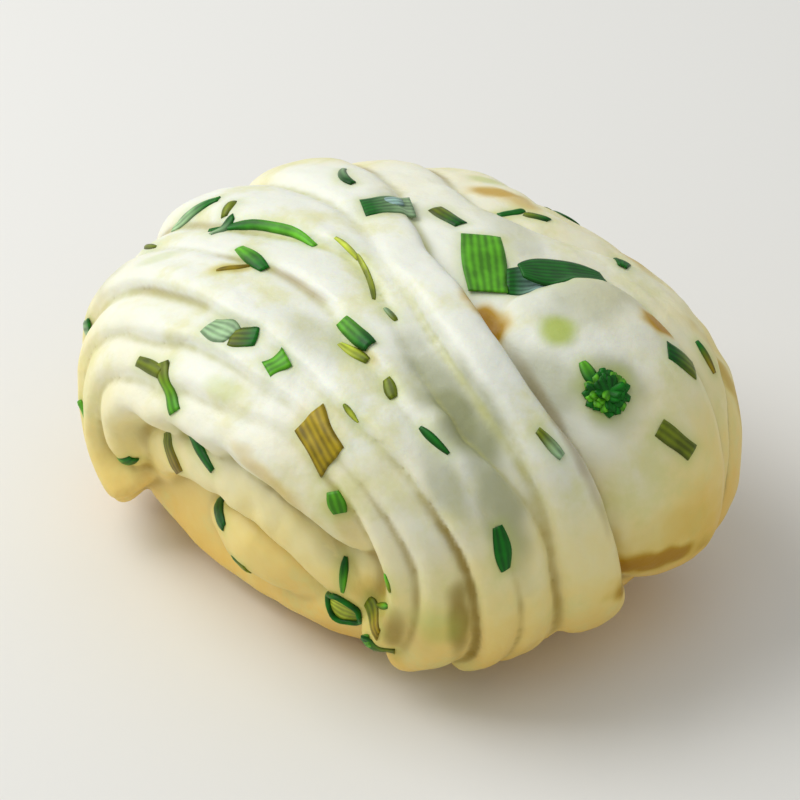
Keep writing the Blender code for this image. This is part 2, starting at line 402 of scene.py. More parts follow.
def keepOuterSkin(mesh):
    # the join can leave closed pockets inside, so only the largest shell stays
    shape = bmesh.new()
    shape.from_mesh(mesh)
    seen, shells = set(), []
    for start in shape.verts:
        if start.index in seen:
            continue
        shell, front = [], [start]
        seen.add(start.index)
        while front:
            point = front.pop()
            shell.append(point)
            for edge in point.link_edges:
                other = edge.other_vert(point)
                if other.index not in seen:
                    seen.add(other.index)
                    front.append(other)
        shells.append(shell)
    shells.sort(key=len)
    bmesh.ops.delete(shape, geom=[point for shell in shells[:-1] for point in shell], context="VERTS")
    shape.to_mesh(mesh)
    shape.free()


def unevenness(point):
    # mm that the skin stands out at a point
    size, height = skin["swell"]
    total = height * noise.noise(point / size)
    size, height = skin["dent"]
    total += height * noise.noise(point / size + Vector(skin["dentShift"]))
    length, width, height = skin["stretch"]
    turn = math.atan2(point.x, point.z - rollShape["waist"])
    total += height * noise.noise(Vector((turn * skin["stretchRadius"] / length, point.y / width, 5.0)))
    place, reach, size, height = skin["lumps"]
    total += height * math.exp(-((point - Vector(place)).length / reach) ** 2) * noise.noise(point / size)
    return total


def blisters(points):
    # small domes where steam has lifted the skin
    reach = np.hypot(points[:, 0], points[:, 2] - rollShape["waist"])
    turns = turnsOf(points)
    raised = np.zeros(len(points))
    for turn, across, radius, height in skin["blisters"]:
        gap = np.hypot((turns - math.radians(turn)) * reach, points[:, 1] - across)
        raised += height * np.exp(-((gap / radius) ** 2))
    return raised


def depthBelow(points, normals, edges, rounds):
    # how far each point lies under the smoothed skin: more than nothing in a crease
    gap = ((relaxed(points, edges, rounds) - points) * normals).sum(axis=1)
    return relaxed(gap[:, None], edges, skin["blur"])[:, 0]


def cutBase(mesh):
    # the flat face that the roll rests on
    shape = bmesh.new()
    shape.from_mesh(mesh)
    everything = shape.verts[:] + shape.edges[:] + shape.faces[:]
    cut = bmesh.ops.bisect_plane(
        shape, geom=everything, plane_co=(0, 0, 0), plane_no=(0, 0, -1), clear_outer=True
    )
    rim = [item for item in cut["geom_cut"] if isinstance(item, bmesh.types.BMEdge)]
    bmesh.ops.edgeloop_fill(shape, edges=rim)
    bmesh.ops.recalc_face_normals(shape, faces=shape.faces[:])
    shape.to_mesh(mesh)
    shape.free()


def makeRoll():
    mesh = joinLeaves()
    keepOuterSkin(mesh)
    print("leaves joined:", len(mesh.vertices), "points")
    edges = valuesOf(mesh.edges, "vertices", 2, np.int32)
    points = relaxed(pointsOf(mesh), edges, skin["relax"])
    setPoints(mesh, points)
    normals = normalsOf(mesh)
    hollow = depthBelow(points, normals, edges, skin["hollowReach"])
    fold = depthBelow(points, normals, edges, skin["foldReach"])
    pressed = np.clip(hollow - skin["pressFrom"], 0, skin["pressMost"]) * skin["pressShare"]
    raised = np.array([unevenness(Vector(point)) for point in points])
    raised += blisters(points)
    points += relaxed(normals * (raised - pressed)[:, None], edges, skin["ease"])
    soft = np.clip(fold / skin["softenAt"], 0, 1)[:, None]
    points += (relaxed(points, edges, skin["soften"]) - points) * soft
    setPoints(mesh, points)
    setAttribute(mesh, "hollow", hollow)
    setAttribute(mesh, "fold", fold)
    cutBase(mesh)
    mesh.transform(Matrix.Diagonal((mm, mm, mm, 1)))
    mesh.shade_smooth()
    print("dough roll pressed and softened:", len(mesh.polygons), "faces")
    return addObject("doughRoll", mesh)


dough = {
    "crown": "#edeedf",      # nearly white on top: partly the dough's tone, partly painted light from above
    "flank": "#f2e294",
    "foot": "#ecbd4a",       # cream to tan near the base: partly the dough's tone, partly painted shade and warm bounce light
    "patch": "#dcd98c",      # greenish cream where onion lies under the skin
    "creaseTop": "#c6c67e",  # painted crease shade up on the crown, greenish cream, partly a juice tint
    "crease": "#b4932c",     # and lower down, amber: painted crease shade, partly an oil tint
    "oilAndShade": "#8e7300",        # onion oil that has run along a fold, darkened as painted shade in the deep creases
    "juice": "#b3c350",
    "weakStain": "#dcbc14",
    "stain": "#b48400",
    # painted shade in hollows, in places the green of onion under the skin
    "shadeAndBruise": "#9a9d6c",
    "shadeAndBruiseShare": 0.9,
    "footZone": (-4.0, 25.0),      # mm up, over which foot turns to flank, and flank to crown
    "crownZone": (14.0, 39.0),
    "rightZone": (-4.0, 14.0),     # mm across, where the zones rise towards the side away from the key light: painted shade
    "rightDrop": 9.0,        # mm that they rise
    "mottle": 9.0,           # mm between the wavers of the zones' borders
    "waver": 16.0,           # mm that a border wavers
    "cloud": 9.0,            # mm, size of the cream patches
    "cloudZone": (0.48, 0.7, 0.6),     # of the noise: no patch, full patch, share of its colour
    "creaseZone": (0.01, 0.12, 0.8),   # mm deep: no painted shade, full painted shade, share of its colour
    "stainFull": 0.8,        # a stain this strong hides the dough
    "relief": (              # size in mm, detail, roughness, strength, height in mm
        (0.7, 2.0, 0.6, 0.3, 0.12),    # pores: real ones are near 0.2 and would not show
        (2.6, 3.0, 0.5, 0.5, 0.4),     # shallow puckers of the drying skin
    ),
    "roughness": 0.46,
    "ior": 1.45,
    "glow": 0.8,             # mm that light travels under the skin, red furthest
    "glowColours": (1.0, 0.8, 0.45),
    "glowShare": 0.3,
}


def doughZones(tree, place):
    # the plain dough's colour from foot to crown, with wavering borders, and how much of it is crown; the
    # tan foot is partly painted shade
    parts = addNode(tree, "ShaderNodeSeparateXYZ", {0: place})
    patches = addNode(
        tree, "ShaderNodeTexNoise",
        {"Vector": place, "Scale": 1 / (dough["mottle"] * mm), "Detail": 3.0, "Roughness": 0.55},
    )
    waver = addNode(
        tree, "ShaderNodeMath",
        {0: patches.outputs["Fac"], 1: dough["waver"] * mm, 2: -dough["waver"] / 2 * mm},
        operation="MULTIPLY_ADD",
    )
    start, end = dough["rightZone"]
    # painted shade: the foot and flank colours reach higher on the side away from the key light
    paintedShade = addNode(
        tree, "ShaderNodeMapRange",
        {
            "Value": parts.outputs["Y"], "From Min": start * mm, "From Max": end * mm,
            "To Max": -dough["rightDrop"] * mm,
        },
        interpolation_type="SMOOTHSTEP",
    )
    level = addNode(tree, "ShaderNodeMath", {0: parts.outputs["Z"], 1: paintedShade.outputs[0]}, operation="ADD")
    height = addNode(tree, "ShaderNodeMath", {0: level.outputs[0], 1: waver.outputs[0]}, operation="ADD")
    body = colour(dough["foot"])
    for zone, tone in ((dough["footZone"], dough["flank"]), (dough["crownZone"], dough["crown"])):
        share = addNode(
            tree, "ShaderNodeMapRange",
            {"Value": height.outputs[0], "From Min": zone[0] * mm, "From Max": zone[1] * mm},
            interpolation_type="SMOOTHSTEP",
        )
        mix = addNode(
            tree, "ShaderNodeMix", {0: share.outputs[0], 6: body, 7: colour(tone)}, data_type="RGBA"
        )
        body = mix.outputs[2]
    return body, share.outputs[0]


def doughCoats(tree, place, body, crownShare):
    # what lies in and on the dough, each coat over the one before
    marks = {}
    for name in ("shadeAndBruise", "fold", "stain", "oilAndShade", "juice"):
        marks[name] = addNode(tree, "ShaderNodeAttribute", attribute_name=name).outputs["Fac"]
    clouds = addNode(
        tree, "ShaderNodeTexNoise",
        {"Vector": place, "W": 3.7, "Scale": 1 / (dough["cloud"] * mm), "Detail": 5.0, "Roughness": 0.62},
        noise_dimensions="4D",
    )
    zones = []
    for value, zone in ((clouds.outputs["Fac"], dough["cloudZone"]), (marks["fold"], dough["creaseZone"])):
        share = addNode(
            tree, "ShaderNodeMapRange",
            {"Value": value, "From Min": zone[0], "From Max": zone[1], "To Max": zone[2]},
            interpolation_type="SMOOTHSTEP",
        )
        zones.append(share.outputs[0])
    shadeAndBruiseShare = addNode(
        tree, "ShaderNodeMath", {0: marks["shadeAndBruise"], 1: dough["shadeAndBruiseShare"]}, operation="MULTIPLY"
    )
    stainShare = addNode(
        tree, "ShaderNodeMapRange", {"Value": marks["stain"], "From Max": dough["stainFull"]}
    )
    # painted crease shade, greenish on the crown and amber lower down
    creaseTone = addNode(
        tree, "ShaderNodeMix",
        {0: crownShare, 6: colour(dough["crease"]), 7: colour(dough["creaseTop"])}, data_type="RGBA",
    )
    stainTone = addNode(
        tree, "ShaderNodeMix",
        {0: marks["stain"], 6: colour(dough["weakStain"]), 7: colour(dough["stain"])}, data_type="RGBA",
    )
    coats = (
        (zones[0], colour(dough["patch"])),
        # painted shade in the hollows, with some onion green under the skin
        (shadeAndBruiseShare.outputs[0], colour(dough["shadeAndBruise"])),
        (zones[1], creaseTone.outputs[2]),
        (stainShare.outputs[0], stainTone.outputs[2]),
        (marks["oilAndShade"], colour(dough["oilAndShade"])),
        (marks["juice"], colour(dough["juice"])),
    )
    for share, tone in coats:
        mix = addNode(tree, "ShaderNodeMix", {0: share, 6: body, 7: tone}, data_type="RGBA")
        body = mix.outputs[2]
    return body


def doughRelief(tree, place):
    relief = {}
    for size, detail, roughness, strength, height in dough["relief"]:
        grain = addNode(
            tree, "ShaderNodeTexNoise",
            {"Vector": place, "Scale": 1 / (size * mm), "Detail": detail, "Roughness": roughness},
        )
        bump = addNode(
            tree, "ShaderNodeBump",
            {"Height": grain.outputs["Fac"], "Strength": strength, "Distance": height * mm, **relief},
        )
        relief = {"Normal": bump.outputs["Normal"]}
    return relief["Normal"]


def steamedWheatDough():
    # leavened wheat dough set by steam: a tight satin skin over a crumb that glows where it is thin
    material, tree, place = emptyMaterial("steamedWheatDough")
    body, crownShare = doughZones(tree, place)
    shader = addNode(
        tree, "ShaderNodeBsdfPrincipled",
        {
            "Base Color": doughCoats(tree, place, body, crownShare),
            "Normal": doughRelief(tree, place), "Roughness": dough["roughness"],
            "IOR": dough["ior"], "Subsurface Weight": dough["glowShare"],
            "Subsurface Radius": dough["glowColours"], "Subsurface Scale": dough["glow"] * mm,
        },
    )
    addNode(tree, "ShaderNodeOutputMaterial", {"Surface": shader.outputs[0]})
    return material


onion = {
    "thickness": 0.24,       # mm, the wall of a green leaf
    "sink": 0.1,             # how far a piece is bedded in the dough
    "step": 0.42,            # mm between the points of a piece
    "edgeThin": 0.45,        # share of the wall that is lost towards a cut edge
    "drape": 0.8,            # mm that a piece follows the dough up or down
    "leanDrape": 0.4,        # share of that for a piece that leans over
    "level": (50, 85),       # the percentile of the dough's heights that a piece lies at, and if it leans
    "lookFrom": 5.0,         # mm above a piece where the search for the dough under it starts
    "lookDown": 9.0,         # mm down from there
    "droop": 1.5,            # mm that a piece hangs down where there is none
    "bridge": (4, 30),       # rounds of smoothing over dips, for a small piece and a large one
    "large": (9, 3),         # mm, from this length and width
    "arch": 0.1,             # mm, what is left of the leaf's round tube
    "pinch": 2.2,            # the more, the nearer to its ends a piece tapers
    "waver": (0.08, 5),      # share of its width that an edge wavers, and how quickly
    "skew": 0.25,            # the most that a cut slants
    "veinSpacing": 0.9,      # mm between the dark lines along a leaf
    "veinShare": 0.17,       # how strongly they show against the patches
    "blotch": 2.6,           # mm, size of the lighter and darker patches
    "strength": (0.25, 0.8, 0.55, 1.35),    # least and most of both together, and the colour's there
    "shade": (0.8, 1.15),    # darkest and lightest piece
    "edgeShade": 0.25,       # how much darker the long edges are
    "relief": (0.35, 0.12),  # strength, and height in mm
    "glow": 0.6,             # mm that light travels in the leaf, green furthest
    "glowColours": (0.5, 1.0, 0.3),
    "glowShare": 0.15,
    "haloStrength": 0.32,    # of the green that a piece leaves in the dough, and how far it spreads in mm
    "haloReach": 1.0,
    "roughness": 0.45,
    "ior": 1.34,
    "seed": 23,
    "scattered": 30,         # pieces on the back and the far side
    "scatteredOver": ((-104, 100), (-31, 33)),    # turns and places across
    "scatteredGap": 6,       # mm between them
    "turnLength": 0.55,      # mm for each degree there
}
tones = {
    "bright": "#5aa81a",
    "deep": "#066606",
    "olive": "#6f7d0e",
    "amber": "#98820a",
    # painted reflection: the grey-blue green that the sky gives a wet leaf
    "bluish": "#97b888",
    "pale": "#bfcc40",
    "sheen": "#93b7ab",      # painted sheen: the lighter blue-green of light reflected off a wet leaf
}

# where a piece lies (turn, across), heading from the leaves' direction, length, width, the tones of its two
# ends, degrees by which it bends, how much it tapers, mm by which its far end lifts, how far it leans over
onionPieces = (
    (-64, -16, -20, 6.0, 1.0, "olive", "olive", 20, 0.7, 0.0, 0),
    (-58, -9.8, 23, 9.2, 2.0, "bluish", "deep", 10, 0.4, 0.1, 0),
    (-47, -9.3, 111, 2.9, 1.5, "olive", "olive", 0, 0.3, 0.0, 0),
    (-45, -11.9, 80, 3.9, 1.5, "bluish", "deep", -20, 0.3, 0.0, 0),
    (-34, -9.4, 14, 17.6, 1.3, "deep", "bright", -46, 0.4, 0.0, 0),
    (-7, -6.9, -7, 5.0, 0.7, "pale", "pale", -16, 0.3, -0.05, 0),
    (7, -8.6, -27, 9.0, 0.8, "pale", "olive", -24, 0.5, -0.05, 0),
    (-26, -15.6, -10, 6.8, 1.9, "bright", "deep", 0, 0.3, 0.2, 0),
    (-27, -18.3, 56, 4.2, 1.0, "amber", "amber", 0, 0.5, 0.0, 0),
    (-13, -25.9, 6, 4.4, 3.7, "bluish", "bluish", 0, 0.25, 0.0, 0),
    (-2.5, -25.2, 33, 3.6, 3.3, "olive", "deep", 0, 0.3, 0.1, 0),
    (16, -25.5, 74, 3.0, 2.7, "bright", "bright", 0, 0.0, 0.2, 0),
    (24, -16.9, -5, 6.7, 2.4, "bright", "deep", 8, 0.3, 0.3, 0),
    (28.5, -18.8, 6, 4.8, 1.4, "pale", "olive", 0, 0.4, 0.1, 0),
    (43, -19.2, -22, 3.0, 1.5, "olive", "olive", 0, 0.3, 0.1, 0),
    (-40, -31.8, -5, 5.4, 1.7, "olive", "olive", -12, 0.1, 0.1, 0),
    (-28, -32.7, -42, 7.0, 2.0, "olive", "bright", 10, 0.0, 0.1, 0),
    (47, -28.4, -14, 6.9, 4.6, "amber", "amber", 0, 0.05, 0.1, 0),
    (-39, 5.7, -28, 6.6, 1.3, "bluish", "deep", 50, 0.4, 0.2, 0),
    (-18, 3.9, 66, 6.6, 5.2, "deep", "bluish", 0, 0.1, 0.2, 0),
    # painted highlight in the middle of the piece before
    (-18.5, 4.6, 66, 3.2, 2.6, "sheen", "sheen", 0, 0.3, 0.6, 0),
    (23, -11.3, -11, 2.8, 0.9, "bluish", "olive", 0, 0.5, 0.0, 0),
    (-6, 9.2, -4, 5.6, 2.2, "olive", "deep", 0, 0.1, 0.1, 0),
    (-4, 19.4, 78, 3.6, 1.3, "deep", "deep", 20, 0.4, 0.1, 0),
    (2, 21.6, 30, 3.4, 1.5, "olive", "deep", -20, 0.4, 0.1, 0),
    (19, 5.6, -36, 11.6, 5.2, "bright", "bright", 0, 0.0, 0.4, 0),
    (34.4, 11.6, 68, 11.6, 6.6, "deep", "deep", 4, 0.65, 0.0, 12),
    # painted highlight at one end of the blade before
    (30.5, 7.2, 60, 4.4, 5.8, "deep", "sheen", 0, 0.2, 0.5, 12),
    (35, 24.4, -52, 6.6, 2.3, "deep", "deep", 0, 0.5, 0.2, 0),
    (49, 18.2, 35, 2.6, 1.3, "deep", "deep", 0, 0.4, 0.1, 0),
    (66, 22.9, -4, 4.7, 1.2, "deep", "amber", 0, 0.4, 0.0, 0),
    (63.5, 15.4, 40, 4.6, 3.2, "deep", "olive", 0, 0.1, 0.1, 0),
    (57.5, 2.9, -8, 3.2, 1.8, "bright", "deep", 0, 0.5, 0.2, 0),
    (74, 9.2, 37, 5.8, 2.4, "olive", "olive", 0, 0.0, 0.1, 0),
    (66, -8.2, 14, 4.4, 1.5, "olive", "bluish", 0, 0.3, 0.1, 0),
    (58, -19.5, 10, 5.0, 1.1, "deep", "deep", 0, 0.6, 0.0, 0),
    (80, -17.9, -1, 5.6, 2.1, "deep", "deep", 0, 0.4, 0.1, 0),
    (45, -24.5, -8, 3.0, 0.9, "olive", "pale", 0, 0.6, -0.1, 0),
    (65, -30.7, -14, 2.8, 2.1, "bright", "bright", 0, 0.2, 0.1, 0),
    (87, -28.9, 16, 2.5, 0.9, "bright", "olive", 0, 0.4, 0.0, 0),
)

# pieces in the open fold at the near end: a point close by, heading from X towards up, length, width,
# the tones of the two ends, taper
foldPieces = (
    (-2, -32, 25, -25, 7.0, 1.5, "deep", "deep", 0.4),
    (-8.2, -32, 21.2, -45, 5.4, 3.0, "olive", "amber", 0.2),
    (-2, -31, 16, -20, 6.0, 2.4, "deep", "deep", 0.5),
    (26, -28, 13, -30, 5.0, 2.4, "olive", "amber", 0.3),
    (22, -28.6, 17, 85, 4.8, 1.1, "bright", "deep", 0.6),
    (27, -28, 15.4, 22, 4.8, 1.0, "olive", "bright", 0.6),
    (27.5, -28, 8, -45, 4.4, 2.8, "deep", "olive", 0.3),
    (25, -29, 8, 40, 3.4, 2.0, "deep", "bright", 0.3),
    (-18, -33, 12, 35, 4.4, 2.0, "bright", "deep", 0.3),
    (4, -33, 8, 15, 3.6, 1.8, "deep", "olive", 0.3),
)

# cut across the leaf: a point close by, radius, wall
rings = (
    ((20.5, -28, 10.6), 2.6, 0.7),
    ((-20, 36, 24), 1.9, 0.6),
)
ringForm = {
    "steps": 36, "sides": 8,       # round the ring, and round its wall
    "lobed": 0.04, "oval": 0.06,   # how far it is from round, as shares of its radius
    "height": 0.9,           # mm
    "standing": 0.3,         # share of that by which its middle stands above the dough
    "shade": 0.75,           # of its tone half way up, and what the top gains on that: painted light on top, painted shade at the foot
    "topLight": 0.35,
    "veinStep": 0.2,
}

# a tuft cut where the leaves part, seen end on
tuft = {
    "turn": 62, "across": 3.4,   # its place
    "slivers": 40,
    "spread": 2.1,           # mm that they reach from its middle
    "spiral": 2.4,           # radians from one to the next
    "length": 2.6, "width": 1.3,
    "skew": 0.7,             # the most that one is turned from the ray it lies on
    "rise": 1.1,             # mm that the middle stands up, and the most that a sliver adds to it
    "stray": 0.3,
    "bend": 30, "taper": 0.4,
}

# marks in the dough: turn, across, heading, length, width, strength. A stain is yellow, or brown if strong
stains = (
    (35.5, -1.4, -10, 8.0, 4.4, 1.0),
    (56, 16.2, 60, 5.6, 5.0, 1.0),
    (95.5, 5.0, 88, 17.0, 4.6, 1.0),
    (90, 8.0, 88, 16.0, 8.0, 0.25),
    (-18, 21.6, 36, 7.6, 3.4, 0.7),
    (2, 27.0, 10, 8.0, 2.6, 0.6),
    (30, 29.0, 10, 9.0, 3.0, 0.5),
    (-27, -18.4, 45, 6.4, 2.4, 0.5),
    (31, -18.2, 5, 5.0, 1.6, 0.35),
    (47, -28.4, -14, 9.0, 6.6, 0.3),
    (104, 22, 90, 8.0, 3.0, 0.8),
    (76, 27, 10, 18.0, 3.0, 0.55),
    (-70, 14, 20, 6.0, 2.4, 0.5),
    (-96, -12, 90, 8.0, 2.2, 0.7),
    (-84, 27, 60, 5.0, 2.0, 0.5),
    (98, -30.5, 80, 5.0, 4.0, 0.3),
    (52, -33.5, 0, 14.0, 3.0, 0.4),
    (72, -31.0, 0, 10.0, 3.5, 0.3),
    (-10, 22.5, 10, 8.0, 4.0, 0.5),
)

# grey-green marks: mostly painted shade in hollows where the dough has sunk and beside pieces, in a few
# places onion under the skin
shadeAndBruises = (
    (54, -15.0, -4, 21.0, 7.5, 1.0),
    (72, -16.5, 0, 18.0, 6.0, 0.8),
    (66, -21.0, 5, 12.0, 4.5, 0.5),
    (36, -13.0, -12, 12.0, 4.0, 0.4),
    (62, 3.8, 0, 10.5, 10.0, 0.8),
    (44, 10.0, 70, 16.0, 10.0, 0.5),
    (56, -1.0, 10, 14.0, 7.0, 0.5),
    (20, -20.0, 0, 14.0, 6.0, 0.35),
    (-18, 3.9, 60, 9.5, 8.5, 0.4),
    (76, -33.0, 10, 12.0, 5.0, 0.4),
    (10, 14.0, -20, 14.0, 6.0, 0.35),
    (-80, 4.0, 10, 12.0, 5.0, 0.5),
    (-70, -22.0, 0, 12.0, 5.0, 0.4),
    (99, -26.5, 80, 7.0, 7.0, 0.2),
)

# yellow-green, where a piece of leaf lies just under the skin
juiceSpots = (
    (48, 3.2, 40, 5.0, 4.6, 0.9),
    (62, 3.4, 0, 7.6, 7.6, 0.55),
    (27, -18.0, 10, 5.0, 3.0, 0.6),
    (-12, -26.0, 0, 7.0, 5.0, 0.3),
    (96, -24.5, 80, 6.0, 6.0, 0.35),
    (-30, 24, 30, 5.0, 3.0, 0.5),
    (6, -30.5, 10, 6.0, 3.0, 0.35),
    (70, 24, 20, 5.0, 2.0, 0.4),
    (-52, -20, 40, 6.0, 3.0, 0.3),
)

# where the oil has pooled beside a crease; some are painted shadow in deep crease gaps and beside the band's
# edge
oilAndShadePools = (
    (94, -22.6, 6, 12.0, 3.2, 0.85),
    (101, -28.0, 20, 6.0, 3.4, 0.7),
    # painted shadow of the band's edge on the lobe
    (62, -3.6, -5, 26.0, 2.0, 0.5),
    (92, -1.0, -10, 10.0, 2.0, 0.4),
    (-90, 8.0, 4, 12.0, 2.0, 0.4),
)

# where onion oil has run along a crease, with painted crease shade along it: its name, first and last turn,
# width in mm, strength
oilAndShadeLines = (
    ("fourth", -40, 8, 1.1, 1.0),
    ("fourth", 84, 108, 1.6, 0.4),
    ("third", 66, 114, 1.4, 0.9),
    ("third", -60, -20, 0.8, 0.5),
    ("second", 60, 108, 1.0, 0.5),
    # painted shadow along the band's right edge, with oil in the crease
    ("bandRight", 18, 84, 1.8, 0.8),
    ("bandRight", -90, -40, 1.0, 0.6),
    ("bandLeft", 84, 110, 1.4, 0.35),
    ("fifth", -100, -30, 1.0, 0.6),
    ("upper", -80, -30, 1.0, 0.6),
    ("upper", 60, 105, 1.0, 0.6),
    ("outer", 50, 104, 1.2, 0.8),
    ("lobeRight", 70, 104, 1.2, 0.6),
    ("lip", 50, 100, 1.0, 0.5),
)


def skinOf(item):
    # a search tree of the dough's surface, in mm
    points = [point.co / mm for point in item.data.vertices]
    return BVHTree.FromPolygons(points, [face.vertices[:] for face in item.data.polygons])


def placeOn(tree, turn, across):
    # a point on the dough, the direction of the leaves there, and the way out
    middle = moundPoint(turn, across)
    outward = moundNormal(middle)
    hit, normal = tree.ray_cast(middle + outward * rollShape["lookFrom"], -outward)[:2]
    outward = (outward + normal).normalized()
    along = moundPoint(turn + 1, across) - moundPoint(turn - 1, across)
    return hit, (along - outward * along.dot(outward)).normalized(), outward


def placeNear(tree, point, heading):
    # the same for the nearest point of the dough, heading from X towards up
    hit, normal = tree.find_nearest(Vector(point))[:2]
    angle = math.radians(heading)
    along = Vector((math.cos(angle), 0, math.sin(angle)))
    return hit, (along - normal * along.dot(normal)).normalized(), normal


class Bits:
    # gathers the pieces of onion into one mesh

    def __init__(self, tree):
        self.tree = tree
        self.points, self.faces = [], []
        self.colours, self.veins = [], []

    def heightAt(self, target, outward):
        # how far the dough lies above a point; past its edge a piece hangs down a little
        start = target + outward * onion["lookFrom"]
        hit = self.tree.ray_cast(start, -outward, onion["lookDown"])[0]
        return (hit - target).dot(outward) if hit else -onion["droop"]

    def lay(self, targets, outward, shape, lean, rounds):
        # the height of a limp leaf laid over the dough: it bridges dips and steps
        bed = np.array([self.heightAt(target, outward) for target in targets]).reshape(shape)
        level = np.percentile(bed, onion["level"][1 if lean else 0])
        sag = onion["drape"] * (onion["leanDrape"] if lean else 1)
        bed = np.clip(bed, level - sag, level + onion["drape"])
        laid = bed
        for _ in range(rounds):
            padded = np.pad(laid, 1, mode="edge")
            laid = (padded[:-2, 1:-1] + padded[2:, 1:-1] + padded[1:-1, :-2] + padded[1:-1, 2:] + laid) / 5
        return np.maximum(laid, bed)

    def addPiece(self, place, along, outward, length, width, start, end, bend, taper, lift, lean, chance):
        outward = Quaternion(along, math.radians(lean)) @ outward
        side = outward.cross(along)
        columns, rows = max(round(length / onion["step"]), 5), max(round(width / onion["step"]), 4)
        bend = math.radians(bend) or 1e-4    # a straight piece has hardly any
        radius = length / bend
        skew, wobble = chance.uniform(-onion["skew"], onion["skew"]), chance.uniform(0, 6)
        targets = []
        for column in range(columns + 1):
            share = column / columns
            angle = bend * (share - 0.5)
            spine = place + along * (radius * math.sin(angle)) + side * (radius * (1 - math.cos(angle)))
            half = width / 2 * (1 - taper * abs(2 * share - 1) ** onion["pinch"])
            half *= 1 + onion["waver"][0] * math.sin(onion["waver"][1] * share + wobble)
            for row in range(rows + 1):
                over = 2 * row / rows - 1
                step = side * (math.cos(angle) * half * over) - along * (math.sin(angle) * half * over)
                targets.append(spine + step + along * (skew * half * over))
        large = length >= onion["large"][0] and width >= onion["large"][1]
        rounds = onion["bridge"][1 if large else 0]
        laid = self.lay(targets, outward, (columns + 1, rows + 1), lean, rounds)
        across, run = np.meshgrid(np.linspace(-1, 1, rows + 1), np.linspace(0, 1, columns + 1))
        rim = np.maximum(np.abs(across), np.abs(2 * run - 1)) ** 8
        laid += onion["arch"] * (1 - across ** 2) + lift * run ** 2
        top = laid + onion["thickness"] * (1 - onion["edgeThin"] * rim) - onion["sink"]
        bottom = laid - onion["sink"] - 0.1
        self.addFaces(len(self.points), columns, rows)
        for heights in (top.ravel(), bottom.ravel()):
            self.points += [target + outward * float(height) for target, height in zip(targets, heights)]
        ends = [np.array(colour(tones[name])[:3]) for name in (start, end)]
        shade = chance.uniform(*onion["shade"])
        for share, over in zip(np.tile(run.ravel(), 2), np.tile(across.ravel(), 2)):
            blend = min(max(1.6 * share - 0.3, 0), 1)    # each end keeps a stretch of its own tone
            tone = (ends[0] * (1 - blend) + ends[1] * blend) * shade
            self.colours.append(list(tone * (1 - onion["edgeShade"] * abs(over) ** 6)) + [1])
            self.veins.append(over * width / 2 + wobble)

    def addFaces(self, first, columns, rows):
        # the top, the bottom and the rim of a piece
        wide, count = rows + 1, (rows + 1) * (columns + 1)
        for column in range(columns):
            for row in range(rows):
                a = first + column * wide + row
                self.faces.append((a, a + wide, a + wide + 1, a + 1))
                self.faces.append((a + count, a + count + 1, a + count + wide + 1, a + count + wide))
        rim = list(range(rows))
        rim += [column * wide + rows for column in range(columns)]
        rim += [columns * wide + row for row in range(rows, 0, -1)]
        rim += [column * wide for column in range(columns, 0, -1)]
        for here, after in zip(rim, rim[1:] + rim[:1]):
            self.faces.append((first + here, first + after, first + count + after, first + count + here))

    def addRing(self, place, along, outward, radius, wall, tone):
        side = outward.cross(along)
        first, steps, sides = len(self.points), ringForm["steps"], ringForm["sides"]
        base = np.array(colour(tones[tone])[:3])
        height, middle = ringForm["height"], ringForm["height"] * ringForm["standing"]
        for step in range(steps):
            angle = 2 * math.pi * step / steps
            ray = along * math.cos(angle) + side * math.sin(angle)
            uneven = ringForm["lobed"] * math.sin(5 * angle) + ringForm["oval"] * math.sin(2 * angle + 1)
            reach = radius * (1 + uneven)
            bed = self.heightAt(place + ray * reach, outward)
            for corner in range(sides):
                turn = 2 * math.pi * corner / sides
                out, up = wall / 2 * math.cos(turn), height / 2 * math.sin(turn)
                self.points.append(place + ray * (reach + out) + outward * (bed + middle + up))
                # painted light and shade: the wall is lighter on top and darker at its foot
                shade = ringForm["shade"] + ringForm["topLight"] * math.sin(turn)
                self.colours.append(list(base * shade) + [1])
                self.veins.append(step * ringForm["veinStep"])
        for step in range(steps):
            here, after = first + step * sides, first + (step + 1) % steps * sides
            for corner in range(sides):
                beside = (corner + 1) % sides
                self.faces.append((here + corner, after + corner, after + beside, here + beside))


def scatteredPieces(chance):
    # the same chopped onion over the back and the far side
    found = []
    turns, places = onion["scatteredOver"]
    while len(found) < onion["scattered"]:
        turn, across = chance.uniform(*turns), chance.uniform(*places)
        behind = turn < -80 or (across > 32 and turn < -12) or (turn < -68 and across > 6)
        gaps = [abs(turn - other[0]) * onion["turnLength"] + abs(across - other[1]) for other in found]
        clear = min(gaps, default=math.inf) > onion["scatteredGap"]
        if not (behind and clear):
            continue
        length = chance.choice((2.6, 3.4, 4.2, 5.5, 7.0))
        width = min(chance.choice((1.2, 1.8, 2.6, 3.4)), length)
        names = chance.choice((("deep", "deep"), ("deep", "bright"), ("bright", "bright"), ("olive", "deep"),
                               ("bluish", "deep"), ("olive", "olive"), ("amber", "olive")))
        found.append((turn, across, chance.uniform(-90, 90), length, width, *names,
                      chance.uniform(-20, 20), chance.uniform(0.0, 0.3), chance.uniform(0.0, 0.25), 0))
    return found


